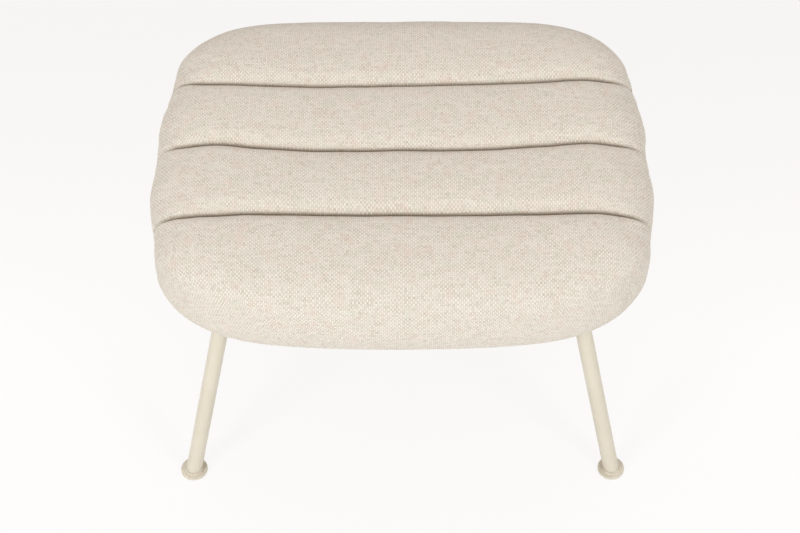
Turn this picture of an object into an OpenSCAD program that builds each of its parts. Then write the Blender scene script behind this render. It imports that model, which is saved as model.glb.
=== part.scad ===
// Channelled footstool: a plump seat of four stuffed rolls on a plywood deck,
// carried by four splayed steel tube legs that end in round foot discs.
// The origin is on the floor under the middle of the seat, Z points up and -Y is the front.

/* [Seat] */
// Overall width of the seat at its widest level
seat_w = 600; // [560:1:680]
// Overall depth of the seat at its widest level
seat_d = 486; // [450:1:540]
// Height above the floor that the crown would have without its dish
seat_h = 397; // [375:1:450]
// Height of the crown above the widest level
crown_h = 78; // [72:1:100]
// Drop from the widest level to the underside
low_h = 59; // [50:1:70]
// How far the lower edge is tucked in under the widest level
tuck = 40; // [30:1:44]
// Roundness of the lower edge, where 2 is an ellipse
low_power = 1.5; // [1.4:0.1:2.4]
// Squareness of the plan outline, where 2 is an ellipse
plan_power = 4.1; // [4:0.1:6]
// Squareness of the upper edge
crown_power = 5.4; // [2.6:0.1:6.4]
// Sag of the crown at the middle of the seat
dish = 13.5; // [0:0.5:18]

/* [Channels] */
// Spacing of the three seams
seam_pitch = 108; // [100:1:118]
// Depth of a seam below the crowns of its rolls
seam_deep = 30; // [18:1:40]
// Depth of the soft valley that a seam leaves on the seat's ends
seam_side = 4.5; // [0:0.5:12]
// Roundness of a roll's crown, where 2 is an ellipse
roll_power = 3.5; // [1.6:0.1:4]
// Where a seam starts to cut in, as a share of the rise from the widest level to the crown
seam_from = 0.25; // [0.05:0.05:0.4]
// Where a seam reaches its full depth, as a share of the same rise
seam_full = 0.85; // [0.6:0.05:1]
// Thickness of the pull-down web that holds a seam
web_t = 1.2; // [0.8:0.1:3]
// Distance from the seat's end to the end of a web
web_inset = 34; // [25:1:60]

/* [Seat base] */
// Thickness of the plywood deck
deck_t = 18; // [12:1:24]
// Inset of the deck from the seat's widest outline
deck_inset = 41; // [40:1:52]
// Corner radius of the deck
deck_r = 108; // [100:1:120]
// Thickness of the firm foam slab on the deck
slab_t = 25; // [15:1:35]
// Thickness of the cover where it is turned under the deck
hem_t = 2.5; // [1.5:0.1:4]
// Width of the turned-under cover
hem_w = 20; // [12:1:24]
// Thickness of the dust cloth
cloth_t = 1; // [0.5:0.1:2]
// Overlap of the dust cloth on the turned-under cover
cloth_lap = 12; // [6:1:16]

/* [Legs] */
// Outside diameter of the leg tube
tube_d = 20; // [16:0.5:26]
// Wall thickness of the leg tube
tube_wall = 1.5; // [1:0.1:3]
// Sideways splay of a leg from upright, in degrees
splay_x = 12.7; // [0:0.1:16]
// Forward or backward splay of a leg from upright, in degrees
splay_y = 14.2; // [0:0.1:18]
// Distance from the seat's end to the top of a leg
leg_inset_x = 87; // [82:1:110]
// Distance from the seat's front or back to the top of a leg
leg_inset_y = 89; // [80:1:100]
// Height of the weld collars at the ends of a leg
collar_h = 2; // [1:0.5:4]
// Width of the weld collars
collar_w = 2; // [1:0.5:3]

/* [Leg plates] */
// Thickness of a leg plate
plate_t = 4; // [3:0.5:6]
// Distance from the leg to the bolts along the plate
bolt_pitch = 52; // [40:1:60]
// Radius of a leg plate's corners
plate_r = 13; // [13:0.5:15]

/* [Fasteners] */
// Diameter of the bolts
bolt_d = 6; // [5:1:8]
// Length of a bolt under its head
bolt_l = 20; // [16:1:22]
// Diameter of a bolt's button head
head_d = 11; // [9:0.5:14]
// Height of a bolt's button head
head_h = 3.3; // [2.5:0.1:5]
// Width across the flats of the hexagon socket
socket_af = 4; // [3:0.5:5]
// Outside diameter of a tee nut's barrel
barrel_d = 8; // [8:0.5:10]
// Length of a tee nut's barrel
barrel_l = 9; // [7:0.5:11]
// Diameter of a tee nut's flange
flange_d = 19; // [15:0.5:22]
// Thickness of a tee nut's flange
flange_t = 1.5; // [1:0.1:2.5]

/* [Feet] */
// Diameter of a foot disc
disc_d = 34; // [30:1:50]
// Thickness of a foot disc
disc_t = 4; // [3:0.5:8]
// Radius of the foot disc's edges
disc_edge = 1; // [0.5:0.1:1.4]
// Diameter of the felt glide under a disc
glide_d = 30; // [24:1:30]
// Thickness of the felt glide
glide_t = 1.5; // [1:0.1:4]

/* [Fit] */
// Clearance between pieces that seat on or pass through each other
fit = 0.3; // [0.2:0.05:0.4]

/* [Hidden] */
$fn = 64;

// How far a cut runs past the face that it opens
over = 1;

// Levels, counted from the floor
mid_z = seat_h - crown_h;
under_z = mid_z - low_h;
deck_z = under_z + hem_t;
slab_z = deck_z + deck_t;
pocket_z = slab_z + slab_t + fit;
cloth_z = under_z - fit - cloth_t;
plate_z = cloth_z - fit - plate_t;
disc_z = glide_t;
leg_z = disc_z + disc_t;

// Plan sizes
half_w = seat_w / 2;
half_d = seat_d / 2;
deck_w = seat_w - 2 * deck_inset;
deck_d = seat_d - 2 * deck_inset;
top_x = half_w - leg_inset_x;
top_y = half_d - leg_inset_y;
foot_x = top_x + (plate_z - leg_z) * tan(splay_x);
foot_y = top_y + (plate_z - leg_z) * tan(splay_y);
lean = [foot_x - top_x, foot_y - top_y, leg_z - plate_z];
wall_gap = web_t / 2 + fit;
seams = [-seam_pitch, 0, seam_pitch];
corners = [[-1, -1], [1, -1], [-1, 1], [1, 1]];
bolt_spots = [[-bolt_pitch, 0], [0, -bolt_pitch], [-bolt_pitch, -bolt_pitch]];

// Counts that set how finely the stuffed forms are drawn
arch_steps = 14;
roll_rows = 12;
edge_rows = 10;

// Colours
fabric = [0.86, 0.82, 0.76];
coat = [0.89, 0.85, 0.77];

// A power that stays at zero for values that rounding took below it
function power(v, e) = v <= 0 ? 0 : pow(v, e);

// Share of the plan outline that a distance from the middle line uses up
function plan_share(y) = power(abs(y) / half_d, plan_power);

// Half the width of the seat at its widest level
function edge_x(y) = half_w * power(1 - plan_share(y), 1 / plan_power);

// Size of the plan outline through a point, where 1 is the widest level
function level(c, y) =
    power(plan_share(y) + (1 - plan_share(y)) * power(abs(c), plan_power), 1 / plan_power);

// Height of the upper edge curve, from 0 at the widest level to 1 at the crown
function rise(r) = power(1 - power(r, crown_power), 1 / crown_power);

// Depth of the lower edge curve, from 0 at the widest level to 1 at the underside
function drop(r) = let (lean_in = (1 - r) * half_w / tuck)
    lean_in >= 1 ? 1 : power(1 - power(1 - lean_in, low_power), 1 / low_power);

// How much of the seam's depth is left at a distance from the seam
function groove(d) = let (t = 1 - abs(d) / (seam_pitch / 2))
    t <= 0 ? 0 : 1 - power(1 - power(t, roll_power), 1 / roll_power);

// Soft valley around a seam, from 1 at the seam to 0 at the middle of a roll
function valley(d) = (1 + cos(180 * min(2 * abs(d) / seam_pitch, 1))) / 2;

// Depth that a seam takes off the surface: a crease on the crown that fades
// into a soft valley towards the ends
function seam_cut(d, up) = let (
        t = min(max((up - seam_from) / (seam_full - seam_from), 0), 1),
        crease = t * t * (3 - 2 * t))
    seam_deep * groove(d) * crease + seam_side * valley(d) * (1 - crease);

// A point of the upper surface, drawn in along its own slope where a seam is near
function upper_point(c, y, d) = let (
        r = level(c, y),
        h = rise(r),
        up = power(h, crown_power),
        side = power(1 - up, (crown_power - 1) / crown_power) / half_w,
        top = power(up, (crown_power - 1) / crown_power) / crown_h,
        slope = norm([side, top]),
        depth = seam_cut(d, up),
        x = c * edge_x(y),
        sag = dish * pow(1 - pow(x / half_w, 2), 2) * h)
    [x - sign(c) * depth * side / slope, y, mid_z + h * crown_h - depth * top / slope - sag];

// A point of the lower surface, where the seam notch fades out towards the underside
function lower_point(c, y, d) = let (
        f = drop(level(c, y)),
        depth = valley(d) * seam_side * (1 - f))
    [c * edge_x(y) - sign(c) * depth, y, mid_z - f * low_h];

// Places across the seat, closer together towards the ends
function spread(k, n) = sign(k) * power(sin(90 * abs(k) / n), 0.7);

// Closed ring around a roll in the plane at y, for a groove distance d
function ring(y, d) = concat(
    [for (k = [-arch_steps:arch_steps]) upper_point(spread(k, arch_steps), y, d)],
    [for (k = [arch_steps - 1:-1:6]) lower_point(spread(k, arch_steps), y, d)],
    [for (k = [3:-3:-3]) lower_point(spread(k, arch_steps), y, d)],
    [for (k = [-6:-1:1 - arch_steps]) lower_point(spread(k, arch_steps), y, d)]);

// Rows from one seam to the next
function channel_rows(y0, y1) = [for (j = [0:roll_rows])
    let (t = (1 - cos(180 * j / roll_rows)) / 2)
        [y0 + (y1 - y0) * t, seam_pitch / 2 * (1 - abs(2 * t - 1))]];

// Rows from the outer seam over the crown to the face of the seat
function border_rows(y0) = let (
        half = seam_pitch / 2,
        steps = roll_rows / 2,
        start = asin(power((y0 + half) / half_d, crown_power / 2)))
    concat(
        [for (j = [0:steps]) let (d = half * (1 - cos(90 * j / steps))) [y0 + d, d]],
        [for (j = [1:edge_rows - 1])
            [half_d * power(sin(start + (90 - start) * j / edge_rows), 2 / crown_power), half]]);

// Solid lofted through the rings of its rows, with a middle point closing each end
module stuffed(rows, first, last) {
    rings = [for (row = rows) ring(row[0], row[1])];
    n = len(rings[0]);
    count = len(rings);
    points = concat([for (r = rings, p = r) p], [first, last]);
    sides = [for (j = [0:count - 2], i = [0:n - 1]) let (
            a = j * n + i,
            b = j * n + (i + 1) % n,
            c = a + n,
            d = b + n)
        each [[a, c, b], [b, c, d]]];
    caps = [for (i = [0:n - 1]) let (m = (i + 1) % n, base = (count - 1) * n)
        each [[n * count, i, m], [n * count + 1, base + m, base + i]]];
    polyhedron(points = points, faces = concat(sides, caps), convexity = 6);
}

// Rectangle with round corners, as flat outline
module rounded(w, d, r) {
    square([w - 2 * r, d], center = true);
    square([w, d - 2 * r], center = true);
    for (c = corners)
        translate([c[0] * (w / 2 - r), c[1] * (d / 2 - r)])
            circle(r);
}

// Board with the deck's outline, grown or shrunk evenly
module board(z, t, grow) {
    translate([0, 0, z])
        linear_extrude(t)
            rounded(deck_w + 2 * grow, deck_d + 2 * grow, deck_r + grow);
}

// Space under the rolls for the deck and slab, with the cover turned under the deck
module base_space() {
    board(deck_z - fit, pocket_z - deck_z + fit, fit);
    board(under_z - over, hem_t + over, -hem_w);
}

// Inner roll between the middle seam and the rear seam
module channel_roll() {
    y0 = wall_gap;
    y1 = seam_pitch - wall_gap;
    color(fabric)
        difference() {
            stuffed(channel_rows(y0, y1), [0, y0, mid_z], [0, y1, mid_z]);
            base_space();
        }
}

// Outer roll from the rear seam to the back of the seat
module border_roll() {
    y0 = seam_pitch + wall_gap;
    color(fabric)
        difference() {
            stuffed(border_rows(y0), [0, y0, mid_z], [0, half_d, mid_z]);
            base_space();
        }
}

module front_roll() mirror([0, 1, 0]) border_roll();
module front_middle_roll() mirror([0, 1, 0]) channel_roll();
module rear_middle_roll() channel_roll();
module rear_roll() border_roll();

// Strip sewn into a seam, which holds it down between two rolls
module web(y) {
    arch = [for (k = [-arch_steps:arch_steps])
        let (p = upper_point(spread(k, arch_steps) * (1 - web_inset / half_w), y, 0))
            [p[0], p[2] - fit]];
    foot = pocket_z;
    color(fabric)
        translate([0, y + web_t / 2, 0])
            rotate([90, 0, 0])
                linear_extrude(web_t)
                    polygon(concat(
                        [for (p = arch) [p[0], max(p[1], mid_z)]],
                        [[arch[2 * arch_steps][0], foot], [arch[0][0], foot]]));
}

module front_web() web(-seam_pitch);
module middle_web() web(0);
module rear_web() web(seam_pitch);

// Firm foam slab that levels the rolls on the deck
module foam_slab() {
    color([0.93, 0.9, 0.72])
        board(slab_z, slab_t, 0);
}

// Plywood deck with the holes of the tee nuts, their flanges let in flush
module deck() {
    color([0.8, 0.66, 0.46])
        difference() {
            board(deck_z, deck_t, 0);
            at_bolts() {
                translate([0, 0, deck_z - over])
                    cylinder(h = deck_t + 2 * over, d = barrel_d + 2 * fit);
                translate([0, 0, slab_z - flange_t - fit])
                    cylinder(h = flange_t + fit + over, d = flange_d + 2 * fit);
            }
        }
}

// Black dust cloth over the underside, with holes for the bolts
module dust_cloth() {
    color([0.12, 0.12, 0.12])
        difference() {
            board(cloth_z, cloth_t, cloth_lap - hem_w);
            at_bolts()
                translate([0, 0, cloth_z - over])
                    cylinder(h = cloth_t + 2 * over, d = bolt_d + 2 * fit);
        }
}

// Places its children at the top of the leg in one corner of the seat
module at_leg(c) {
    mirror([c[0] < 0 ? 1 : 0, 0, 0])
        mirror([0, c[1] < 0 ? 1 : 0, 0])
            translate([top_x, top_y, 0])
                children();
}

// Places its children at every bolt
module at_bolts() {
    for (c = corners)
        at_leg(c)
            for (s = bolt_spots)
                translate([s[0], s[1], 0])
                    children();
}

// Round bar along the leg's slant, cut level at two heights
module slanted(d, low, high) {
    reach = norm(lean) * (high - low + 2 * d) / -lean[2];
    start = low - d;
    shift = (start - plate_z) / lean[2];
    intersection() {
        translate([lean[0] * shift, lean[1] * shift, start])
            rotate([0, -acos(-lean[2] / norm(lean)), atan2(lean[1], lean[0])])
                cylinder(h = reach, d = d);
        translate([-seat_w, -seat_w, low])
            cube([2 * seat_w, 2 * seat_w, high - low]);
    }
}

// Straight tube leg, mitred level at the plate and at the disc
module leg(c) {
    color(coat)
        at_leg(c)
            difference() {
                slanted(tube_d, leg_z, plate_z);
                slanted(tube_d - 2 * tube_wall, leg_z - over, plate_z + over);
            }
}

// Low weld collar that hugs the slanted tube between two heights
module collar(low, high) {
    difference() {
        slanted(tube_d + 2 * collar_w, low, high);
        slanted(tube_d + fit, low - over, high + over);
    }
}

// Square plate with the leg at its outer corner and bolts at the other three
module plate(c) {
    span = bolt_pitch + 2 * plate_r;
    color(coat)
        at_leg(c) {
            difference() {
                translate([-bolt_pitch / 2, -bolt_pitch / 2, plate_z])
                    linear_extrude(plate_t)
                        rounded(span, span, plate_r);
                for (s = bolt_spots)
                    translate([s[0], s[1], plate_z - over])
                        cylinder(h = plate_t + 2 * over, d = bolt_d + 2 * fit);
            }
            collar(plate_z - collar_h, plate_z);
        }
}

// Round foot disc with softened edges and the weld collar of its leg
module disc(c) {
    color(coat)
        at_leg(c) {
            translate([lean[0], lean[1], disc_z])
                rotate_extrude()
                    disc_profile();
            collar(leg_z, leg_z + collar_h);
        }
}

// Half section of the foot disc
module disc_profile() {
    square([disc_d / 2 - disc_edge, disc_t]);
    translate([0, disc_edge])
        square([disc_d / 2, disc_t - 2 * disc_edge]);
    for (z = [disc_edge, disc_t - disc_edge])
        translate([disc_d / 2 - disc_edge, z])
            circle(disc_edge);
}

// Felt glide glued under a foot disc
module glide(c) {
    color([0.3, 0.29, 0.28])
        at_leg(c)
            translate([lean[0], lean[1], 0])
                cylinder(h = glide_t, d = glide_d);
}

module front_left_leg() leg(corners[0]);
module front_right_leg() leg(corners[1]);
module rear_left_leg() leg(corners[2]);
module rear_right_leg() leg(corners[3]);

module front_left_plate() plate(corners[0]);
module front_right_plate() plate(corners[1]);
module rear_left_plate() plate(corners[2]);
module rear_right_plate() plate(corners[3]);

module front_left_disc() disc(corners[0]);
module front_right_disc() disc(corners[1]);
module rear_left_disc() disc(corners[2]);
module rear_right_disc() disc(corners[3]);

module front_left_glide() glide(corners[0]);
module front_right_glide() glide(corners[1]);
module rear_left_glide() glide(corners[2]);
module rear_right_glide() glide(corners[3]);

// Button head bolt, pointing up, with its head under the plate
module bolt() {
    difference() {
        union() {
            cylinder(h = bolt_l, d = bolt_d);
            intersection() {
                translate([0, 0, -head_h])
                    cylinder(h = head_h, d = head_d);
                translate([0, 0, head_d - head_h])
                    sphere(d = 2 * head_d);
            }
        }
        translate([0, 0, -head_h - over])
            cylinder(h = head_h * 0.6 + over, d = socket_af / cos(30), $fn = 6);
    }
}

module bolts() {
    color("silver")
        at_bolts()
            translate([0, 0, plate_z])
                bolt();
}

// Tee nut driven into the deck from above
module tee_nuts() {
    color("silver")
        at_bolts()
            difference() {
                union() {
                    translate([0, 0, slab_z - flange_t])
                        cylinder(h = flange_t, d = flange_d);
                    translate([0, 0, slab_z - barrel_l])
                        cylinder(h = barrel_l, d = barrel_d);
                }
                translate([0, 0, slab_z - barrel_l - over])
                    cylinder(h = barrel_l + 2 * over, d = bolt_d + 2 * fit);
            }
}

front_roll();
front_middle_roll();
rear_middle_roll();
rear_roll();
front_web();
middle_web();
rear_web();
foam_slab();
deck();
dust_cloth();
front_left_leg();
front_right_leg();
rear_left_leg();
rear_right_leg();
front_left_plate();
front_right_plate();
rear_left_plate();
rear_right_plate();
front_left_disc();
front_right_disc();
rear_left_disc();
rear_right_disc();
front_left_glide();
front_right_glide();
rear_left_glide();
rear_right_glide();
bolts();
tee_nuts();
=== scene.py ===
import bisect
import math

import bmesh
import bpy
from mathutils import Matrix, Vector, noise
from mathutils.bvhtree import BVHTree


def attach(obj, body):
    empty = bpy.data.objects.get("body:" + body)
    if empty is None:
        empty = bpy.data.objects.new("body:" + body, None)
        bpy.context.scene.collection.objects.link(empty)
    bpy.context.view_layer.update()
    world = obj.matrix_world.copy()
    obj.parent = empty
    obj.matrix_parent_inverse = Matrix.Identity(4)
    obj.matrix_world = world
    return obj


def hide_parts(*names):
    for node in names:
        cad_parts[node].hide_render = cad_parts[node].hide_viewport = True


# Channelled footstool: four stuffed rolls under one woven cover, on four splayed tube legs.
# Everything is in metres, the floor is Z = 0 and -Y is the front.
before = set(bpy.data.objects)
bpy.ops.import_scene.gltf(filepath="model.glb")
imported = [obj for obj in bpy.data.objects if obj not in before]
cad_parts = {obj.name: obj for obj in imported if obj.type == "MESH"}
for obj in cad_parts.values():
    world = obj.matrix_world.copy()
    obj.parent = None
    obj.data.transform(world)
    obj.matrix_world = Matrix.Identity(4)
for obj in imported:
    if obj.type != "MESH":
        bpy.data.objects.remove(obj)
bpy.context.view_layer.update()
scene = bpy.context.scene
scene.view_settings.view_transform = "Standard"
print("frame loaded with", len(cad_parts), "nodes")


# Camera, fitted to the outline of the seat and the feet
camera = {
    "lookAt": (-0.0013, -0.1471, 0.327),
    "distance": 1.90,
    "elevation": 50.14,
    "turn": -0.52,
    "roll": 0.55,
    "lens": 73.21,
    "sensor": 36,
}


def placeCamera(setup):
    data = bpy.data.cameras.new("camera")
    data.lens = setup["lens"]
    data.sensor_width = setup["sensor"]
    data.clip_start = 0.05
    data.clip_end = 60
    item = bpy.data.objects.new("camera", data)
    scene.collection.objects.link(item)
    up = math.radians(setup["elevation"])
    turn = math.radians(setup["turn"])
    forward = Vector((math.sin(turn) * math.cos(up), math.cos(turn) * math.cos(up), -math.sin(up)))
    right = Vector((math.cos(turn), -math.sin(turn), 0))
    over = right.cross(forward)
    axes = Matrix((right, over, -forward)).transposed().to_4x4()
    place = Vector(setup["lookAt"]) - forward * setup["distance"]
    roll = Matrix.Rotation(math.radians(-setup["roll"]), 4, "Z")
    item.matrix_world = Matrix.Translation(place) @ axes @ roll
    scene.camera = item


placeCamera(camera)


# Small helpers for node trees and meshes
def newTree(name):
    made = bpy.data.materials.new(name)
    made.use_nodes = True
    tree = made.node_tree
    return made, tree, tree.nodes["Principled BSDF"]


def put(tree, socket, value):
    if isinstance(value, bpy.types.NodeSocket):
        tree.links.new(value, socket)
    else:
        socket.default_value = value


def sums(tree, operation, *values):
    made = tree.nodes.new("ShaderNodeMath")
    made.operation = operation
    for socket, value in zip(made.inputs, values):
        put(tree, socket, value)
    return made.outputs[0]


def ranged(tree, value, low, high, toLow=0.0, toHigh=1.0, smooth=False):
    made = tree.nodes.new("ShaderNodeMapRange")
    made.interpolation_type = "SMOOTHSTEP" if smooth else "LINEAR"
    numbers = {"Value": value, "From Min": low, "From Max": high, "To Min": toLow, "To Max": toHigh}
    for name, number in numbers.items():
        put(tree, made.inputs[name], number)
    return made.outputs[0]


def mixed(tree, share, first, second):
    made = tree.nodes.new("ShaderNodeMix")
    made.data_type = "RGBA"
    put(tree, made.inputs[0], share)
    put(tree, made.inputs[6], first)
    put(tree, made.inputs[7], second)
    return made.outputs[2]


def noisy(tree, where, scale, detail=2.0, rough=0.5):
    made = tree.nodes.new("ShaderNodeTexNoise")
    put(tree, made.inputs["Vector"], where)
    made.inputs["Scale"].default_value = scale
    made.inputs["Detail"].default_value = detail
    made.inputs["Roughness"].default_value = rough
    return made


def packed(tree, x, y, z=0.0):
    made = tree.nodes.new("ShaderNodeCombineXYZ")
    for socket, value in zip(made.inputs, (x, y, z)):
        put(tree, socket, value)
    return made.outputs[0]


def objectPlace(tree):
    return tree.nodes.new("ShaderNodeTexCoord").outputs["Object"]


def ramp(tree, value, *stops):
    made = tree.nodes.new("ShaderNodeValToRGB")
    put(tree, made.inputs[0], value)
    points = made.color_ramp.elements
    while len(points) < len(stops):
        points.new(0.5)
    for point, (where, colour) in zip(points, stops):
        point.position = where
        point.color = colour
    return made.outputs[0]


def parted(tree, vector):
    made = tree.nodes.new("ShaderNodeSeparateXYZ")
    tree.links.new(vector, made.inputs[0])
    return made.outputs


shaderNames = {
    "specular": "Specular IOR Level",
    "sheen": "Sheen Weight",
    "sheenRoughness": "Sheen Roughness",
}


def surfaced(tree, shader, look, colour, roughness=None):
    put(tree, shader.inputs["Base Color"], colour)
    put(tree, shader.inputs["Roughness"], look["roughness"] if roughness is None else roughness)
    for key, name in shaderNames.items():
        if key in look:
            shader.inputs[name].default_value = look[key]


def bumped(tree, shader, height, strength, distance):
    made = tree.nodes.new("ShaderNodeBump")
    made.inputs["Strength"].default_value = strength
    made.inputs["Distance"].default_value = distance
    put(tree, made.inputs["Height"], height)
    tree.links.new(made.outputs[0], shader.inputs["Normal"])


def tone(red, green, blue):
    # sRGB values from 0 to 255 as a linear colour
    def linear(v):
        v /= 255
        return v / 12.92 if v <= 0.04045 else ((v + 0.055) / 1.055) ** 2.4
    return linear(red), linear(green), linear(blue), 1.0


def newPiece(name, bm, material, smooth=True):
    mesh = bpy.data.meshes.new(name)
    bm.to_mesh(mesh)
    bm.free()
    piece = bpy.data.objects.new(name, mesh)
    scene.collection.objects.link(piece)
    mesh.materials.append(material)
    mesh.shade_smooth() if smooth else mesh.shade_flat()
    return piece


def baked(piece):
    # the piece's mesh as its modifiers leave it, with none left live
    bpy.context.view_layer.update()
    made = bpy.data.meshes.new_from_object(piece.evaluated_get(bpy.context.evaluated_depsgraph_get()))
    old = piece.data
    piece.modifiers.clear()
    piece.data = made
    made.name = piece.name
    bpy.data.meshes.remove(old)


# Woven cover: a plain weave of thick melange yarns, the warp a little paler than the weft
weave = {
    "warpPitch": 0.00235,
    "weftPitch": 0.00270,
    "warpPale": tone(236, 228, 217),
    "warpDeep": tone(226, 216, 203),
    "weftPale": tone(223, 213, 200),
    "weftDeep": tone(199, 186, 168),
    "warpDrift": 0.30,      # how fast a yarn's tint changes along its length, as a share of across
    "weftDrift": 0.15,
    "tintScale": 0.9,
    "tintSteps": (0.32, 0.60),
    "rose": tone(222, 202, 189),
    "roseShare": 0.60,
    "roseFrom": (0.53, 0.68),
    "moss": tone(211, 209, 192),
    "mossShare": 0.50,
    "mossFrom": (0.47, 0.32),
    "blushScale": 0.15,
    # painted shade in the gaps between the yarns, and the weave heights over which it fades out
    "pitShade": tone(165, 149, 128),
    "pitShadeDepths": (-0.95, -0.22),
    "unevenness": 0.16,     # how much deeper one crossing may be than the next
    "fleck": tone(158, 141, 118),
    "fleckShare": 0.12,
    "fleckDepth": 0.18,
    # painted shade for the seam creases, and how strongly it is laid on
    "seam": tone(150, 134, 114),
    "seamShadeDepth": 0.75,
    "wander": 0.0013,
    "wanderScale": 70,
    "yarnRise": 0.5,        # how far a yarn rises over its neighbours, and how round it is across
    "yarnRound": 0.9,
    "yarnBlend": 0.12,
    "roughness": (0.95, 0.86),
    "specular": 0.25,
    "sheen": 0.12,
    "sheenRoughness": 0.5,
    "bump": (0.25, 0.0006),
}


def coverFabric():
    made, tree, shader = newTree("cover_fabric")
    source = tree.nodes.new("ShaderNodeUVMap")
    source.uv_map = "cloth"
    spread = tree.nodes.new("ShaderNodeVectorMath")
    spread.operation = "MULTIPLY_ADD"
    wandering = noisy(tree, objectPlace(tree), weave["wanderScale"], 3)
    tree.links.new(wandering.outputs["Color"], spread.inputs[0])
    spread.inputs[1].default_value = (weave["wander"], weave["wander"], 0)
    tree.links.new(source.outputs[0], spread.inputs[2])
    split = parted(tree, spread.outputs[0])
    u = sums(tree, "DIVIDE", split[0], weave["warpPitch"])
    v = sums(tree, "DIVIDE", split[1], weave["weftPitch"])
    waveU = sums(tree, "SINE", sums(tree, "MULTIPLY", u, math.pi))
    waveV = sums(tree, "SINE", sums(tree, "MULTIPLY", v, math.pi))

    # each yarn rises over its neighbours in turn and is round across; the higher of the two shows
    def yarnHeight(along, across, swing):
        side = sums(tree, "SIGN", across)
        lift = sums(tree, "MULTIPLY", sums(tree, "MULTIPLY", along, side), swing)
        roundness = sums(tree, "MULTIPLY", sums(tree, "ABSOLUTE", across), weave["yarnRound"])
        return sums(tree, "SUBTRACT", lift, sums(tree, "SUBTRACT", weave["yarnRound"], roundness))

    warpHeight = yarnHeight(waveV, waveU, weave["yarnRise"])
    weftHeight = yarnHeight(waveU, waveV, -weave["yarnRise"])
    height = sums(tree, "MAXIMUM", warpHeight, weftHeight)
    lead = sums(tree, "SUBTRACT", warpHeight, weftHeight)
    warpUp = ranged(tree, lead, -weave["yarnBlend"], weave["yarnBlend"], smooth=True)

    # each yarn changes its tint slowly along its own length
    slowV = sums(tree, "MULTIPLY", v, weave["warpDrift"])
    slowU = sums(tree, "MULTIPLY", u, weave["weftDrift"])
    warpTint = noisy(tree, packed(tree, u, slowV, 3.0), weave["tintScale"], 3, 0.6).outputs[0]
    weftTint = noisy(tree, packed(tree, slowU, v, 8.0), weave["tintScale"], 3, 0.6).outputs[0]
    low, high = weave["tintSteps"]
    warpColour = ramp(tree, warpTint, (low, weave["warpDeep"]), (high, weave["warpPale"]))
    weftColour = ramp(tree, weftTint, (low, weave["weftDeep"]), (high, weave["weftPale"]))
    yarn = mixed(tree, warpUp, weftColour, warpColour)
    blush = noisy(tree, packed(tree, u, v, 21.0), weave["blushScale"], 3, 0.7).outputs[0]
    for name in ("rose", "moss"):
        share = ranged(tree, blush, *weave[name + "From"], 0.0, weave[name + "Share"])
        yarn = mixed(tree, share, yarn, weave[name])

    # every crossing is a little paler or deeper than the next, and a few show a dark fleck
    crossing = tree.nodes.new("ShaderNodeTexWhiteNoise")
    crossing.noise_dimensions = "2D"
    put(tree, crossing.inputs["Vector"], packed(tree, sums(tree, "FLOOR", u), sums(tree, "FLOOR", v)))
    chance = crossing.outputs["Value"]
    deeper = ranged(tree, chance, 0.0, 1.0, 0.0, weave["unevenness"])
    yarn = mixed(tree, deeper, yarn, weave["weftDeep"])
    fleck = ranged(tree, chance, 1 - weave["fleckShare"], 1 - weave["fleckShare"] * 0.6)
    yarn = mixed(tree, sums(tree, "MULTIPLY", fleck, weave["fleckDepth"]), yarn, weave["fleck"])
    # painted shade: the lowest parts of the weave, between the yarns, are darkened
    colour = mixed(tree, ranged(tree, height, *weave["pitShadeDepths"]), weave["pitShade"], yarn)

    # painted shade: the cloth beside a seam is darkened, standing in for the shade in its crease
    seamShade = tree.nodes.new("ShaderNodeAttribute")
    seamShade.attribute_name = "seamShade"
    depth = sums(tree, "MULTIPLY", seamShade.outputs["Fac"], weave["seamShadeDepth"])
    colour = mixed(tree, depth, colour, weave["seam"])
    surfaced(tree, shader, weave, colour, ranged(tree, warpTint, 0.3, 0.7, *weave["roughness"]))
    bumped(tree, shader, height, *weave["bump"])
    return made


# Powder coat on the legs, plates and discs, a little rubbed near the floor
coat = {
    "colour": tone(221, 210, 191),
    "shade": tone(216, 205, 185),
    "cloudScale": 22,
    "worn": tone(198, 186, 166),
    "wornShare": 0.6,
    "wornHeights": (0.004, 0.016),
    "scuffScale": 260,
    "peelScale": 900,
    "roughness": (0.36, 0.46),
    "specular": 0.62,
    "sheen": 0.3,
    "sheenRoughness": 0.4,
    "bump": (0.22, 0.0004),
}


def powderCoat():
    made, tree, shader = newTree("powder_coat")
    place = objectPlace(tree)
    cloud = noisy(tree, place, coat["cloudScale"], 3).outputs[0]
    colour = mixed(tree, ranged(tree, cloud, 0.35, 0.65), coat["colour"], coat["shade"])
    scuffs = noisy(tree, place, coat["scuffScale"], 4, 0.7).outputs[0]
    low = ranged(tree, parted(tree, place)[2], *coat["wornHeights"], 1.0, 0.0)
    rubbed = sums(tree, "MULTIPLY", ranged(tree, scuffs, 0.52, 0.66), low)
    colour = mixed(tree, sums(tree, "MULTIPLY", rubbed, coat["wornShare"]), colour, coat["worn"])
    surfaced(tree, shader, coat, colour, ranged(tree, cloud, 0.3, 0.7, *coat["roughness"]))
    peel = noisy(tree, place, coat["peelScale"], 2, 0.5).outputs[0]
    bumped(tree, shader, peel, *coat["bump"])
    return made


# Non-woven black cloth
black = {
    "deep": tone(22, 22, 23),
    "pale": tone(52, 51, 50),
    "fibreScale": 700,
    "spotScale": 240,
    "roughness": 0.92,
    "specular": 0.2,
    "sheen": 0.1,
    "bump": (0.35, 0.0006),
}


def blackCloth():
    made, tree, shader = newTree("black_cloth")
    place = objectPlace(tree)
    fibres = noisy(tree, place, black["fibreScale"], 4, 0.7).outputs[0]
    spots = noisy(tree, place, black["spotScale"], 2, 0.5).outputs[0]
    surfaced(tree, shader, black, ramp(tree, fibres, (0.35, black["deep"]), (0.7, black["pale"])))
    bumped(tree, shader, sums(tree, "ADD", fibres, spots), *black["bump"])
    return made


# Felt of the glides
felt = {
    "deep": tone(58, 55, 52),
    "pale": tone(104, 100, 95),
    "fibreScale": 1400,
    "roughness": 0.97,
    "specular": 0.1,
    "bump": (0.6, 0.0008),
}


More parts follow.
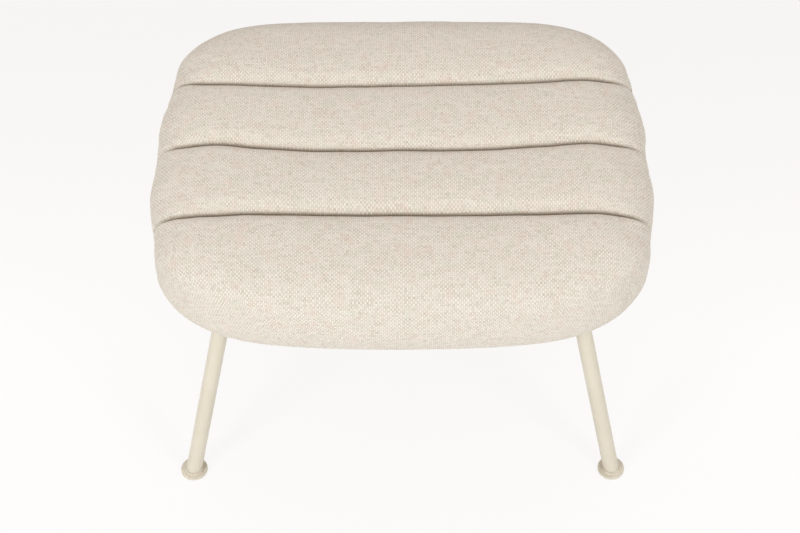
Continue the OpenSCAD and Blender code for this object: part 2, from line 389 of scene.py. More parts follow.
def feltPad():
    made, tree, shader = newTree("felt")
    fibres = noisy(tree, objectPlace(tree), felt["fibreScale"], 5, 0.75).outputs[0]
    surfaced(tree, shader, felt, ramp(tree, fibres, (0.3, felt["deep"]), (0.7, felt["pale"])))
    bumped(tree, shader, fibres, *felt["bump"])
    return made


# Zinc plate on the bolts and tee nuts
zinc = {
    "deep": tone(150, 152, 152),
    "pale": tone(205, 206, 204),
    "mottleScale": 320,
    "roughness": (0.30, 0.46),
    "bump": (0.12, 0.0003),
}


def zincPlating():
    made, tree, shader = newTree("zinc")
    mottle = noisy(tree, objectPlace(tree), zinc["mottleScale"], 4, 0.65).outputs[0]
    colour = ramp(tree, mottle, (0.3, zinc["deep"]), (0.7, zinc["pale"]))
    surfaced(tree, shader, zinc, colour, ranged(tree, mottle, 0.3, 0.7, *zinc["roughness"]))
    shader.inputs["Metallic"].default_value = 1.0
    bumped(tree, shader, mottle, *zinc["bump"])
    return made


# Birch plywood of the deck
birch = {
    "deep": tone(196, 158, 112),
    "middle": tone(216, 184, 140),
    "pale": tone(228, 202, 162),
    "endGrain": tone(160, 120, 80),
    "endGrainShare": 0.35,
    "veneersPerMetre": 500.0,
    "grainStretch": (6.0, 110.0, 60.0),
    "grainScale": 1.6,
    "roughness": 0.6,
    "bump": (0.2, 0.0004),
}


def birchPlywood():
    made, tree, shader = newTree("plywood")
    split = parted(tree, objectPlace(tree))
    # nine veneers through the thickness, alternately side grain and end grain
    layer = sums(tree, "PINGPONG", sums(tree, "MULTIPLY", split[2], birch["veneersPerMetre"]), 1.0)
    endGrain = ranged(tree, layer, 0.42, 0.58, smooth=True)
    stretched = [sums(tree, "MULTIPLY", side, size) for side, size in zip(split, birch["grainStretch"])]
    grain = noisy(tree, packed(tree, *stretched), birch["grainScale"], 5, 0.6).outputs[0]
    wood = ramp(tree, grain, (0.25, birch["deep"]), (0.5, birch["middle"]), (0.75, birch["pale"]))
    wood = mixed(tree, sums(tree, "MULTIPLY", endGrain, birch["endGrainShare"]), wood, birch["endGrain"])
    surfaced(tree, shader, birch, wood)
    bumped(tree, shader, grain, *birch["bump"])
    return made


# Open-cell foam of the pad
cells = {
    "deep": tone(214, 200, 150),
    "pale": tone(240, 230, 188),
    "scale": 900,
    "roughness": 0.95,
    "bump": (0.5, 0.0006),
}


def paleFoam():
    made, tree, shader = newTree("foam")
    cell = tree.nodes.new("ShaderNodeTexVoronoi")
    tree.links.new(objectPlace(tree), cell.inputs["Vector"])
    cell.inputs["Scale"].default_value = cells["scale"]
    away = cell.outputs["Distance"]
    surfaced(tree, shader, cells, ramp(tree, away, (0.1, cells["deep"]), (0.7, cells["pale"])))
    bumped(tree, shader, away, *cells["bump"])
    return made


# Woven tape of the webs
tape = {
    "deep": tone(176, 170, 158),
    "pale": tone(232, 228, 218),
    "threads": 3800.0,      # radians of the wave for each metre
    "roughness": 0.9,
    "bump": (0.4, 0.0004),
}


def webCloth():
    made, tree, shader = newTree("web_fabric")
    split = parted(tree, objectPlace(tree))
    across, along = (sums(tree, "SINE", sums(tree, "MULTIPLY", split[i], tape["threads"])) for i in (0, 2))
    threads = sums(tree, "ABSOLUTE", sums(tree, "MULTIPLY", across, along))
    surfaced(tree, shader, tape, ramp(tree, threads, (0.0, tape["deep"]), (0.8, tape["pale"])))
    bumped(tree, shader, threads, *tape["bump"])
    return made


coverMaterial = coverFabric()
coatMaterial = powderCoat()
blackMaterial = blackCloth()
feltMaterial = feltPad()
zincMaterial = zincPlating()
plyMaterial = birchPlywood()
foamMaterial = paleFoam()
webMaterial = webCloth()


def dress(material, *names):
    for name in names:
        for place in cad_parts[name].material_slots:
            place.material = material


corners = ("front_left", "front_right", "rear_left", "rear_right")
for corner in corners:
    dress(coatMaterial, corner + "_leg", corner + "_plate", corner + "_disc")
    dress(feltMaterial, corner + "_glide")
dress(zincMaterial, "bolts", "tee_nuts")
dress(plyMaterial, "deck")
print("frame pieces dressed")


# Seat form: one plump outline, cut by three seams into four rolls
seat = {
    "halfWidth": 0.300,
    "halfDepth": 0.243,
    "midHeight": 0.319,
    "crownRise": 0.078,
    "lowDrop": 0.059,
    "tuck": 0.040,
    "lowPower": 1.5,
    "planPower": 4.1,
    "crownPower": 5.4,
    "dish": 0.0135,
    "seamPitch": 0.108,
    "seamDeep": 0.030,
    "seamSide": 0.0045,
    "seamFrom": 0.25,
    "seamFull": 0.85,
    "rollPower": 3.5,
    "wallGap": 0.0009,
    "looseGrid": (150, 30),         # steps around a roll and along Y, before it is stuffed
    "cutGrid": (420, 110),          # and on the cut form that it is drawn back to
    "voxel": 0.005,
    "slack": 0.004,                 # how much smaller the rolls are before they are stuffed
    "heldSeam": 0.0012,             # vertices this near a seam or the underside are held
    "heldUnder": 0.0015,
    "mostStuffing": 0.009,
    "pressure": 4.0,
    "trueness": 0.75,               # how far the sewn cover pulls the stuffing back to its cut form
    "trueBand": (0.010, 0.026),     # distances from a seam where the full pull starts to ease and ends
    "trueUnder": 0.6,               # share of the low side's height over which it grows full again
    "fineBand": (0.0006, 0.010),    # distances from a seam between which the faces are finer
    "lump": 0.0009,
    "lumpSize": 0.075,
    "lumpBand": (0.002, 0.018),     # distances from a seam, and heights, between which they fade in
    "lumpRise": (-0.045, -0.010),
    "seamShadeWidth": 0.0035,            # width beside a seam that gets painted crease shade
    "seamShadeEnds": (0.02, 0.12),     # shares of the half width, in from an end, where that fades in
    "gatherRise": (0.0, 0.02),
    "unrollInset": 0.085,           # how far in from the edge the cloth starts to run down over it
    "meanHalf": 0.260,              # a size between halfWidth and halfDepth, for that run's length
}

# Waviness of the hand-sewn seams: each one's shift along Y in mm, at even places from left to right
wander = {
    "reach": 0.280,
    "front": (-9.5, -3.9, -0.4, 1.2, 2.2, 3.2, 1.9, 0.3, -1.6, -1.0, -10.0),
    "middle": (-4.5, 2.2, -2.9, -4.3, -2.6, -0.5, -2.1, -2.7, -1.0, 2.8, -5.0),
    "rear": (-1.0, -1.8, -3.3, -2.6, 0.5, 2.7, 3.1, 1.9, 1.1, 4.2, -2.5),
    "rise": (-0.045, 0.045),        # heights over the middle between which it fades in
}
seamPlaces = {"front": -seat["seamPitch"], "middle": 0.0, "rear": seat["seamPitch"]}

# Uneven outline: how far the rolls' ends stand out at places along Y, and the bowed front and rear
# edge. Places and shifts are in mm, and the bows' half lengths in metres
ends = {
    "places": (-243, -200, -170, -140, -121, -105, -80, -50, -20, 10, 35, 60, 85, 110, 130, 170, 243),
    "left": (0.0, 0.4, -0.6, -2.6, -4.0, -2.2, 0.0, 0.5, 1.1, 1.4, 1.0, -1.0, -2.2, -3.6, -2.4, 0.0, 0.0),
    "right": (0.0, 0.8, 1.0, -0.3, -1.3, 0.3, 2.3, 2.5, 2.5, 2.0, 2.6, 0.5, 0.2, -1.0, 0.0, 0.6, 0.0),
    "frontBow": 3.0,
    "frontBowHalf": 0.150,
    "rearBow": 5.0,
    "rearBowHalf": 0.180,
    "endsFrom": (0.190, 0.285),     # distances along X and Y, and heights, between which they fade in
    "endsRise": (-0.045, -0.010),
    "bowFrom": (0.148, 0.230),
    "bowRise": (-0.058, -0.040),
}


def power(v, e):
    return 0.0 if v <= 0 else v ** e


def planShare(form, y):
    return power(abs(y) / form["halfDepth"], form["planPower"])


def edgeX(form, y):
    return form["halfWidth"] * power(1 - planShare(form, y), 1 / form["planPower"])


def level(form, c, y):
    share = planShare(form, y)
    return power(share + (1 - share) * power(abs(c), form["planPower"]), 1 / form["planPower"])


def rise(form, r):
    return power(1 - power(r, form["crownPower"]), 1 / form["crownPower"])


def drop(form, r):
    leanIn = (1 - r) * form["halfWidth"] / form["tuck"]
    p = form["lowPower"]
    return 1.0 if leanIn >= 1 else power(1 - power(1 - leanIn, p), 1 / p)


def groove(form, d):
    t = 1 - abs(d) / (form["seamPitch"] / 2)
    return 0.0 if t <= 0 else 1 - power(1 - power(t, form["rollPower"]), 1 / form["rollPower"])


def valley(form, d):
    return (1 + math.cos(math.pi * min(2 * abs(d) / form["seamPitch"], 1))) / 2


def smooth(v, low, high):
    t = min(max((v - low) / (high - low), 0), 1)
    return t * t * (3 - 2 * t)


def seamCut(form, d, up):
    # a crease on the crown that fades into a soft valley towards the ends
    crease = smooth(up, form["seamFrom"], form["seamFull"])
    return form["seamDeep"] * groove(form, d) * crease + form["seamSide"] * valley(form, d) * (1 - crease)


def upperPoint(form, c, y, d):
    m = form["crownPower"]
    h = rise(form, level(form, c, y))
    up = power(h, m)
    side = power(1 - up, (m - 1) / m) / form["halfWidth"]
    top = power(up, (m - 1) / m) / form["crownRise"]
    slope = math.hypot(side, top)
    depth = seamCut(form, d, up)
    x = c * edgeX(form, y)
    sag = form["dish"] * (1 - (x / form["halfWidth"]) ** 2) ** 2 * h
    return (x - math.copysign(1, c) * depth * side / slope,
            form["midHeight"] + h * form["crownRise"] - depth * top / slope - sag)


def lowerPoint(form, c, y, d):
    f = drop(form, level(form, c, y))
    depth = valley(form, d) * form["seamSide"] * (1 - f)
    return c * edgeX(form, y) - math.copysign(1, c) * depth, form["midHeight"] - f * form["lowDrop"]


def evenly(points, count):
    # points at even steps along a line through the given ones
    lengths = [0.0]
    for a, b in zip(points, points[1:]):
        lengths.append(lengths[-1] + math.dist(a, b))
    made = []
    for i in range(count):
        want = lengths[-1] * i / (count - 1)
        k = min(max(bisect.bisect_right(lengths, want), 1), len(points) - 1)
        span = lengths[k] - lengths[k - 1]
        t = (want - lengths[k - 1]) / span if span > 0 else 0.0
        made.append(tuple(p + (q - p) * t for p, q in zip(points[k - 1], points[k])))
    return made


def ringPath(form, y, d, count):
    fine = 90
    places = [math.sin(math.pi / 2 * k / fine) ** 0.7 for k in range(fine + 1)]
    line = [lowerPoint(form, c, y, d) for c in places]
    line += [upperPoint(form, c, y, d) for c in reversed(places)]
    line += [upperPoint(form, -c, y, d) for c in places[1:]]
    line += [lowerPoint(form, -c, y, d) for c in reversed(places)]
    return evenly(line, count)


def rollRows(form, y0, y1, border, count):
    # places along Y with even steps over the roll's crown line, and each one's distance to its seam
    half = form["seamPitch"] / 2
    line = []
    for k in range(301):
        t = k / 300
        y = y0 + (y1 - y0) * (math.sin(math.pi / 2 * t) if border else t)
        d = min(y - y0, half) if border else min(y - y0, y1 - y)
        x, z = upperPoint(form, 1e-6, y, d)
        line.append((y, z, d))
    return evenly(line, count)


def formMesh(form, y0, y1, border, mirror, around, rows):
    # closed skin of one roll, drawn ring by ring along Y
    bm = bmesh.new()
    bmesh.ops.create_grid(bm, x_segments=around, y_segments=rows, size=1.0)
    places = rollRows(form, y0, y1, border, rows + 1)
    rings = [ringPath(form, y, d, around + 1) for y, z, d in places]
    for v in bm.verts:
        i = round((v.co.x + 1) / 2 * around)
        j = round((v.co.y + 1) / 2 * rows)
        x, z = rings[j][i]
        v.co = (x, -places[j][0] if mirror else places[j][0], z)
    bmesh.ops.remove_doubles(bm, verts=bm.verts, dist=1e-5)
    bmesh.ops.holes_fill(bm, edges=[e for e in bm.edges if e.is_boundary], sides=0)
    bmesh.ops.recalc_face_normals(bm, faces=bm.faces)
    return bm


def looseRoll(name, form, y0, y1, border, mirror):
    piece = newPiece(name, formMesh(form, y0, y1, border, mirror, *form["looseGrid"]), coverMaterial)
    remesh = piece.modifiers.new("even faces", "REMESH")
    remesh.mode = "VOXEL"
    remesh.voxel_size = form["voxel"]
    baked(piece)
    return piece


def sewDown(piece, form, y0, y1, border, mirror):
    # the vertices on the seams and against the deck are held while the roll is stuffed
    held = piece.vertex_groups.new(name="sewn")
    walls = [y0] if border else [y0, y1]
    for v in piece.data.vertices:
        y = -v.co.y if mirror else v.co.y
        nearWall = min(abs(y - w) for w in walls)
        under = v.co.z - (form["midHeight"] - form["lowDrop"])
        if nearWall < form["heldSeam"] or under < form["heldUnder"]:
            held.add([v.index], 1.0, "REPLACE")


# How the cover behaves while the rolls are stuffed
coverCloth = {
    "quality": 5,
    "mass": 0.3,
    "tension_stiffness": 25,
    "compression_stiffness": 25,
    "shear_stiffness": 12,
    "bending_stiffness": 1.5,
    "use_pressure": True,
}
lastStep = 20


def stuff(pieces, form):
    start = {p.name: [v.co.copy() for v in p.data.vertices] for p in pieces}
    for p in pieces:
        cloth = p.modifiers.new("stuffing", "CLOTH")
        rules = cloth.settings
        for key, value in coverCloth.items():
            setattr(rules, key, value)
        rules.uniform_pressure_force = form["pressure"]
        rules.vertex_group_mass = "sewn"
        rules.effector_weights.gravity = 0
        cloth.collision_settings.use_collision = False
        cloth.collision_settings.use_self_collision = False
        cloth.point_cache.frame_start = 1
        cloth.point_cache.frame_end = lastStep
    scene.frame_start, scene.frame_end = 1, lastStep
    for step in range(1, lastStep + 1):
        scene.frame_set(step)
    graph = bpy.context.evaluated_depsgraph_get()
    for p in pieces:
        after = [v.co.copy() for v in p.evaluated_get(graph).data.vertices]
        p.modifiers.clear()
        most, total = form["mostStuffing"], 0.0
        for v, a, b in zip(p.data.vertices, start[p.name], after):
            move = b - a
            if move.length > 1e-9:
                v.co = a + move * (most * math.tanh(move.length / most) / move.length)
            total = max(total, move.length)
        print("stuffed", p.name, "largest move", round(total * 1000, 1), "mm")
    scene.frame_set(1)


# Each roll: its name, the node it stands for, the limits of its Y, whether it ends at the seat's
# edge, and whether it lies in front of the middle seam, mirrored
loose = dict(seat)
for key in ("halfWidth", "halfDepth", "crownRise", "seamDeep"):
    loose[key] -= seat["slack"]
outer = (seat["seamPitch"] + seat["wallGap"], loose["halfDepth"], True)
inner = (seat["wallGap"], seat["seamPitch"] - seat["wallGap"], False)
rollPlan = [
    ("front_roll_padding", "front_roll", *outer, True),
    ("front_middle_roll_padding", "front_middle_roll", *inner, True),
    ("rear_middle_roll_padding", "rear_middle_roll", *inner, False),
    ("rear_roll_padding", "rear_roll", *outer, False),
]
rolls = []
for name, node, y0, y1, border, mirror in rollPlan:
    roll = looseRoll(name, loose, y0, y1, border, mirror)
    sewDown(roll, loose, y0, y1, border, mirror)
    rolls.append(roll)
print("loose rolls:", [len(r.data.polygons) for r in rolls])
stuff(rolls, seat)


def sewnTo(piece, cut, form, walls):
    # the sewn cover draws the stuffed roll back to its cut form, wholly at the seams and underneath
    total, most = 0.0, 0.0
    for v in piece.data.vertices:
        place, normal, index, away = cut.find_nearest(v.co)
        near = min(abs(v.co.y - w) for w in walls)
        low = smooth(form["midHeight"] - v.co.z, 0, form["lowDrop"] * form["trueUnder"])
        share = max(1 - smooth(near, *form["trueBand"]), low)
        share = form["trueness"] + (1 - form["trueness"]) * share
        v.co = v.co.lerp(place, share)
        total, most = total + away, max(most, away)
    mean = total / len(piece.data.vertices)
    print(piece.name, "to its cut form: mean", round(mean * 1000, 2), "most", round(most * 1000, 1), "mm")


def finerSeams(piece, form, walls):
    bm = bmesh.new()
    bm.from_mesh(piece.data)

    def away(v):
        return min(abs(v.co.y - w) for w in walls)

    low, high = form["fineBand"]
    band = [e for e in bm.edges if low < max(map(away, e.verts)) < high
        and min(v.co.z for v in e.verts) > form["midHeight"]]
    bmesh.ops.subdivide_edges(bm, edges=band, cuts=1, use_grid_fill=True)
    bm.to_mesh(piece.data)
    bm.free()


def swayed(form, place):
    # where the wavy seams, the uneven ends and the bowed edges carry a point, none of it underneath
    x, y, z = place
    up = z - form["midHeight"]
    shift = 0.0
    for name, seamY in seamPlaces.items():
        shifts = wander[name]
        t = (min(max(x / wander["reach"], -1), 1) + 1) / 2 * (len(shifts) - 1)
        k = min(int(t), len(shifts) - 2)
        size = shifts[k] + (shifts[k + 1] - shifts[k]) * smooth(t - k, 0, 1)
        shift += smooth(form["seamPitch"] - abs(y - seamY), 0, form["seamPitch"]) * size / 1000
    side = "left" if x < 0 else "right"
    k = min(max(bisect.bisect_right(ends["places"], y * 1000), 1), len(ends["places"]) - 1)
    a, b = ends["places"][k - 1], ends["places"][k]
    out = ends[side][k - 1] + (ends[side][k] - ends[side][k - 1]) * smooth(y * 1000, a, b)
    out *= smooth(abs(x), *ends["endsFrom"]) * smooth(up, *ends["endsRise"])
    bow = "front" if y < 0 else "rear"
    bulge = max(1 - (x / ends[bow + "BowHalf"]) ** 2, 0) ** 2 * ends[bow + "Bow"] / 1000
    bulge *= smooth(abs(y), *ends["bowFrom"]) * smooth(up, *ends["bowRise"])
    x += math.copysign(1, x) * out / 1000
    y += math.copysign(1, y) * bulge + shift * smooth(up, *wander["rise"])
    return Vector((x, y, z))


def lumpy(piece, form, walls):
    # uneven stuffing felt through the cover, with none right at the seams
    normals = [v.normal.copy() for v in piece.data.vertices]
    for v, normal in zip(piece.data.vertices, normals):
        near = min(abs(v.co.y - w) for w in walls)
        up = v.co.z - form["midHeight"]
        fade = smooth(near, *form["lumpBand"]) * smooth(up, *form["lumpRise"])
        where = v.co / form["lumpSize"]
        size = noise.noise(where) + 0.35 * noise.noise(where * 2.7)
        v.co = swayed(form, v.co + normal * (size * form["lump"] * fade))


# Deck space inside the rolls, with the cover turned under the deck
base = {
    "halfWidth": 0.259,
    "halfDepth": 0.202,
    "cornerRadius": 0.108,
    "low": 0.2622,
    "high": 0.3058,
    "hemWidth": 0.020,
    "underside": 0.260,
    "fit": 0.0003,
}


def roundedBlock(halfWidth, halfDepth, radius, low, high):
    bm = bmesh.new()
    bmesh.ops.create_cube(bm, size=1.0)
    bmesh.ops.scale(bm, vec=(2 * halfWidth, 2 * halfDepth, high - low), verts=bm.verts)
    bmesh.ops.translate(bm, vec=(0, 0, (low + high) / 2), verts=bm.verts)
    upright = [e for e in bm.edges if abs(e.verts[0].co.z - e.verts[1].co.z) > 1e-6]
    bmesh.ops.bevel(bm, geom=upright, offset=radius, offset_type="OFFSET", affect="EDGES",
        segments=16, profile=0.5, material=-1)
    return bm


def cutBase(pieces):
    # one cut for the deck and slab, and a smaller one through the cover under it
    cutters = []
    for grow, low, high in ((base["fit"], base["low"], base["high"]),
                            (-base["hemWidth"], base["underside"] - 0.02, base["low"] + 0.001)):
        sides = [base[key] + grow for key in ("halfWidth", "halfDepth", "cornerRadius")]
        bm = roundedBlock(*sides, low, high)
        cutters.append(newPiece("deck_space", bm, coverMaterial, smooth=False))
    for piece in pieces:
        for cutter in cutters:
            cut = piece.modifiers.new("deck space", "BOOLEAN")
            cut.operation = "DIFFERENCE"
            cut.solver = "MANIFOLD"
            cut.object = cutter
        baked(piece)
    for cutter in cutters:
        bpy.data.objects.remove(cutter)


# Fabric coordinates: distances along the cloth, unrolled over the edge and down into the seams
def edgeTable(form):
    # around the edge profile, from straight above the inset line to straight below it
    inset, steps = form["unrollInset"], 120
    line = []
    for k in range(steps + 1):
        e = inset * (1 - math.sin(math.pi / 2 * k / steps) ** 0.8)
        line.append((inset - e, rise(form, 1 - e / form["meanHalf"]) * form["crownRise"]))
    for k in range(1, steps + 1):
        e = inset * (1 - math.cos(math.pi / 2 * k / steps))
        leanIn = min(e / form["tuck"], 1)
        line.append((inset - e, -drop(form, 1 - leanIn * form["tuck"] / form["halfWidth"]) * form["lowDrop"]))
    angles, lengths = [], []
    total = 0.0
    for k, point in enumerate(line):
        if k:
            total += math.dist(point, line[k - 1])
        angles.append(-math.atan2(point[1], point[0]))
        lengths.append(total)
    return angles, lengths


def looked(table, value):
    keys, results = table
    k = min(max(bisect.bisect_right(keys, value), 1), len(keys) - 1)
    span = keys[k] - keys[k - 1]
    t = 0.0 if span <= 0 else min(max((value - keys[k - 1]) / span, 0), 1)
    return results[k - 1] + (results[k] - results[k - 1]) * t


def grooveTable(form):
    half = form["seamPitch"] / 2
    keys, results, total, last = [], [], 0.0, None
    for k in range(201):
        away = half * (1 - (1 - k / 200) ** 2)
        point = (away, groove(form, half - away) * form["seamDeep"])
        if last:
            total += math.dist(point, last)
        keys.append(away)
        results.append(total)
        last = point
    return keys, results


def unroll(form, tables, place, middle, border):
    x, y, z = place
    n = form["planPower"]
    a, b = abs(x) / form["halfWidth"], abs(y) / form["halfDepth"]
    r = max((a ** n + b ** n) ** (1 / n), 1e-4)
    gx = (a / r) ** (n - 1) / form["halfWidth"]
    gy = (b / r) ** (n - 1) / form["halfDepth"]
    steep = math.hypot(gx, gy)
    reach = form["unrollInset"] - (1 - r) / steep
    up = z - form["midHeight"]
    if reach <= 0 and up > 0:
        extra = 0.0
    else:
        along = looked(tables[0], -math.atan2(up, max(reach, 1e-5)))
        extra = along - reach
        if reach <= 0:
            extra = tables[0][1][-1] - reach
    u = x + math.copysign(extra * gx / steep, x)
    v = y + math.copysign(extra * gy / steep, y)
    away = y - middle
    if border and away * y > 0:
        return u, v
    fade = smooth(power(rise(form, min(r, 1)), form["crownPower"]), form["seamFrom"], form["seamFull"])
    arc = looked(tables[1], abs(away))
    return u, v + math.copysign((arc - abs(away)) * fade, away)


def clothMap(piece, form, tables, middle, border):
    places = [unroll(form, tables, v.co, middle, border) for v in piece.data.vertices]
    layer = piece.data.uv_layers.new(name="cloth")
    for loop in piece.data.loops:
        layer.data[loop.index].uv = places[loop.vertex_index]
    # how near the cloth is to a seam, for the shade painted into the crease beside it
    seamShade = piece.data.attributes.new("seamShade", "FLOAT", "POINT")
    for v in piece.data.vertices:
        x, y, z = v.co
        near = min(abs(y - swayed(form, (x, seamY, z)).y) for seamY in seamPlaces.values())
        beside = 1 - smooth(near, form["wallGap"], form["wallGap"] + form["seamShadeWidth"])
        inside = smooth(1 - abs(x) / form["halfWidth"], *form["seamShadeEnds"])
        inside *= smooth(z - form["midHeight"], *form["gatherRise"])
        seamShade.data[v.index].value = beside * inside


fabricTables = edgeTable(seat), grooveTable(seat)
for roll, (name, node, y0, y1, border, mirror) in zip(rolls, rollPlan):
    finer = roll.modifiers.new("finer", "SUBSURF")
    finer.levels = finer.render_levels = 1
    baked(roll)
    bm = formMesh(seat, y0, seat["halfDepth"] if border else y1, border, mirror, *seat["cutGrid"])
    cut = BVHTree.FromBMesh(bm)
    bm.free()
    walls = [w * (-1 if mirror else 1) for w in ([y0] if border else [y0, y1])]
    sewnTo(roll, cut, seat, walls)
    finerSeams(roll, seat, walls)
    sewnTo(roll, cut, dict(seat, trueness=0.0), walls)
    lumpy(roll, seat, walls)
cutBase(rolls)
for roll, (name, node, y0, y1, border, mirror) in zip(rolls, rollPlan):
    middle = (seat["seamPitch"] * 1.5 if border else seat["seamPitch"] / 2) * (-1 if mirror else 1)
    clothMap(roll, seat, fabricTables, middle, border)
    roll.data.shade_smooth()
    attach(roll, "root")
    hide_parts(node)
print("rolls done:", [len(r.data.polygons) for r in rolls])


# Strips sewn into the seams, which hold them down on the foam slab
web = {
    "thickness": 0.0012,
    "inset": 0.034,
    "foot": 0.3058,
    "topGap": 0.0004,
    "grid": (96, 8),
}


def webStrip(name, node, seamY):
    bm = bmesh.new()
    bmesh.ops.create_grid(bm, x_segments=web["grid"][0], y_segments=web["grid"][1], size=1.0)
    share = 1 - web["inset"] / seat["halfWidth"]
    for v in bm.verts:
        x, top = upperPoint(seat, v.co.x * share, seamY, 0.0)
        z = web["foot"] + (top - web["topGap"] - web["foot"]) * (v.co.y + 1) / 2
        v.co = swayed(seat, Vector((x, seamY, z)))
    area = sum(f.calc_area() for f in bm.faces)
    strip = newPiece(name, bm, webMaterial)
    thick = strip.modifiers.new("thickness", "SOLIDIFY")
    thick.thickness, thick.offset = web["thickness"], 0.0
    baked(strip)
    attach(strip, "root")
    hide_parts(node)


# Firm foam slab between the deck and the rolls
pad = {
    "low": 0.2805,
    "high": 0.3055,
    "softEdge": 0.003,
}
bm = roundedBlock(base["halfWidth"], base["halfDepth"], base["cornerRadius"], pad["low"], pad["high"])
rims = [e for e in bm.edges if abs(e.verts[0].co.z - e.verts[1].co.z) < 1e-6]
bmesh.ops.bevel(bm, geom=rims, offset=pad["softEdge"], affect="EDGES", segments=3, profile=0.5, material=-1)
foam = newPiece("foam_pad", bm, foamMaterial)
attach(foam, "root")
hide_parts("foam_slab")
for name, seamY in seamPlaces.items():
    webStrip(name + "_web_strip", name + "_web", seamY)
print("foam and webs done")


# Black dust cloth under the deck, stretched and folded in at its edge
dust = {
    "halfWidth": 0.251,
    "halfDepth": 0.194,
    "cornerRadius": 0.100,
    "top": 0.2597,
    "thickness": 0.0007,
    "fold": 0.012,
    "ripple": 0.0009,
    "sag": 0.0016,
    "legPlace": (0.213, 0.154),
    "boltPitch": 0.052,
    "holeRadius": 0.0033,
    "clamped": (0.187, 0.128),      # middle of a leg plate, and how far it presses the cloth flat
    "clampedFrom": (0.045, 0.075),
    "grid": (120, 94),
    "slackBand": (0.014, 0.05),     # distances in from the edge between which it comes to hang free
    "waves": ((22, 3, 0.7), (60, 9, 0.3)),      # scale, seed and share of each ripple
    "gathers": 56,
    "gatherDepth": 0.35,
    "gatherEnd": (0.016, 0.05),     # and between which the gathers fade out
    "foldSoft": 0.001,
}


def edgeReach(x, y):
    # distance from the middle to the cloth's rounded outline, towards a point
    far = math.hypot(x, y)
    dx, dy = abs(x) / far, abs(y) / far
    cx, cy = dust["halfWidth"] - dust["cornerRadius"], dust["halfDepth"] - dust["cornerRadius"]
    reach = min(dust["halfWidth"] / max(dx, 1e-9), dust["halfDepth"] / max(dy, 1e-9))
    if reach * dx > cx and reach * dy > cy:
        along = cx * dx + cy * dy
        reach = along + math.sqrt(along * along - cx * cx - cy * cy + dust["cornerRadius"] ** 2)
    return reach


def dustCloth():
    bm = bmesh.new()
    bmesh.ops.create_grid(bm, x_segments=dust["grid"][0], y_segments=dust["grid"][1], size=1.0)
    for v in bm.verts:
        x, y = v.co.x * dust["halfWidth"], v.co.y * dust["halfDepth"]
        if max(abs(x), abs(y)) < 1e-6:
            v.co = (0, 0, dust["top"] - dust["sag"])
            continue
        square = min(dust["halfWidth"] / max(abs(x), 1e-9), dust["halfDepth"] / max(abs(y), 1e-9))
        shrink = edgeReach(x, y) / (math.hypot(x, y) * square)
        x, y = x * shrink, y * shrink
        inside = edgeReach(x, y) - math.hypot(x, y) if math.hypot(x, y) > 1e-6 else 0.2
        free = smooth(math.dist((abs(x), abs(y)), dust["clamped"]), *dust["clampedFrom"])
        slack = smooth(inside, *dust["slackBand"]) * free
        wave = sum(noise.noise(Vector((x * k, y * k, seed))) * share for k, seed, share in dust["waves"])
        pull = abs(math.sin(math.atan2(y, x) * dust["gathers"])) * dust["gatherDepth"] * free
        pull *= smooth(inside, 0.0, dust["fold"]) * (1 - smooth(inside, *dust["gatherEnd"]))
        z = dust["top"] - dust["thickness"] / 2
        z += dust["ripple"] * (wave * slack - pull) - dust["sag"] * slack
        # the folded edge lies twice as thick
        fold = 1 - smooth(inside - dust["fold"], -dust["foldSoft"], dust["foldSoft"])
        z -= dust["thickness"] * free * fold
        v.co = (x, y, z)
    area = sum(f.calc_area() for f in bm.faces)
    piece = newPiece("dust_cover", bm, blackMaterial)
    thick = piece.modifiers.new("thickness", "SOLIDIFY")
    thick.thickness, thick.offset = dust["thickness"], 0.0
    baked(piece)
    holes = bmesh.new()
    px, py = dust["legPlace"]
    step = dust["boltPitch"]
    for sx in (-1, 1):
        for sy in (-1, 1):
            for ax, ay in ((step, 0), (0, step), (step, step)):
                bmesh.ops.create_cone(holes, cap_ends=True, segments=24, depth=0.02,
                    radius1=dust["holeRadius"], radius2=dust["holeRadius"],
                    matrix=Matrix.Translation((sx * (px - ax), sy * (py - ay), dust["top"])))
    cutter = newPiece("cloth_holes", holes, blackMaterial, smooth=False)
    cut = piece.modifiers.new("holes", "BOOLEAN")
    cut.operation, cut.solver, cut.object = "DIFFERENCE", "MANIFOLD", cutter
    baked(piece)
    bpy.data.objects.remove(cutter)
    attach(piece, "root")
    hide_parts("dust_cloth")


dustCloth()
print("dust cloth done")


# Floor and light
light = {
    "world": 0.384,
    "worldColour": (1.0, 1.005, 0.975, 1),
    "worldSeen": 0.94,
    "left": 37.5,
    "right": 30.0,
    "frontColour": (0.96, 1.005, 1.04),
    "over": 22.6,
    "overColour": (1.03, 0.975, 0.98),
    "floorColour": (0.98, 0.97, 0.955, 1),
    "floorNear": (1.0, 0.983, 0.970, 1),
    "floorFar": (0.950, 0.932, 0.922, 1),
    "floorFade": (-0.1, 0.75),      # where along Y the near tone turns into the far one
    "floorGlow": 0.88,              # how much the floor shines of itself for camera and glossy rays
    "floorBounce": 0.20,            # and for all others
}

# Softboxes: place, target, width, height, strength, colour
softboxes = {
    "left_light": ((-1.75, -1.9, 1.7), (0, 0, 0.25), 0.9, 0.9, light["left"], light["frontColour"]),
    "right_light": ((1.75, -1.9, 1.7), (0, 0, 0.25), 0.9, 0.9, light["right"], light["frontColour"]),
    "over_light": ((0, 0.9, 2.6), (0, 0, 0.3), 2.6, 2.2, light["over"], light["overColour"]),
}


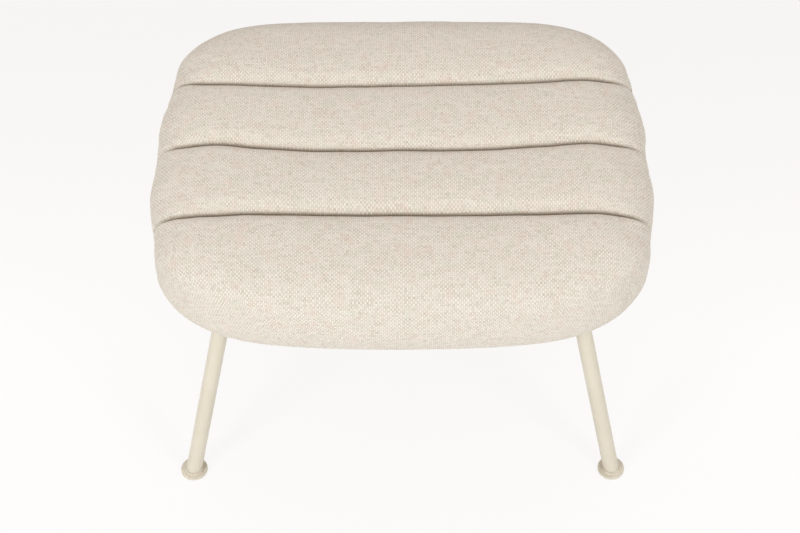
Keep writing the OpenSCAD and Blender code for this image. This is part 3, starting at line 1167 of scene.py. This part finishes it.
def paleFloor():
    made = bpy.data.materials.new("pale_floor")
    made.use_nodes = True
    tree = made.node_tree
    tree.nodes.clear()
    out = tree.nodes.new("ShaderNodeOutputMaterial")
    matt = tree.nodes.new("ShaderNodeBsdfDiffuse")
    matt.inputs["Color"].default_value = light["floorColour"]
    glow = tree.nodes.new("ShaderNodeEmission")
    away = ranged(tree, parted(tree, objectPlace(tree))[1], *light["floorFade"], smooth=True)
    tree.links.new(mixed(tree, away, light["floorNear"], light["floorFar"]), glow.inputs["Color"])
    path = tree.nodes.new("ShaderNodeLightPath")
    seen = sums(tree, "MAXIMUM", path.outputs["Is Camera Ray"], path.outputs["Is Glossy Ray"])
    mix = tree.nodes.new("ShaderNodeMixShader")
    put(tree, mix.inputs[0], ranged(tree, seen, 0.0, 1.0, light["floorBounce"], light["floorGlow"]))
    tree.links.new(matt.outputs[0], mix.inputs[1])
    tree.links.new(glow.outputs[0], mix.inputs[2])
    # clear from below, so that the underside can be looked at
    clear = tree.nodes.new("ShaderNodeBsdfTransparent")
    facing = tree.nodes.new("ShaderNodeNewGeometry")
    oneSided = tree.nodes.new("ShaderNodeMixShader")
    tree.links.new(facing.outputs["Backfacing"], oneSided.inputs[0])
    tree.links.new(mix.outputs[0], oneSided.inputs[1])
    tree.links.new(clear.outputs[0], oneSided.inputs[2])
    tree.links.new(oneSided.outputs[0], out.inputs[0])
    return made


bm = bmesh.new()
bmesh.ops.create_grid(bm, x_segments=2, y_segments=2, size=6.0)
floor = newPiece("floor", bm, paleFloor(), smooth=False)


def paleWorld():
    world = bpy.data.worlds.new("studio")
    scene.world = world
    world.use_nodes = True
    tree = world.node_tree
    back = tree.nodes["Background"]
    path = tree.nodes.new("ShaderNodeLightPath")
    seen = sums(tree, "MAXIMUM", path.outputs["Is Camera Ray"], path.outputs["Is Glossy Ray"])
    put(tree, back.inputs["Strength"], ranged(tree, seen, 0.0, 1.0, light["world"], light["worldSeen"]))
    put(tree, back.inputs["Color"], mixed(tree, seen, light["worldColour"], light["floorFar"]))


def softbox(name, place, target, width, height, watts, colour):
    data = bpy.data.lights.new(name, "AREA")
    data.shape = "RECTANGLE"
    data.size, data.size_y = width, height
    data.energy = watts
    data.color = colour
    item = bpy.data.objects.new(name, data)
    scene.collection.objects.link(item)
    item.location = place
    item.rotation_euler = (Vector(target) - Vector(place)).to_track_quat("-Z", "Y").to_euler()


paleWorld()
for name, setup in softboxes.items():
    softbox(name, *setup)
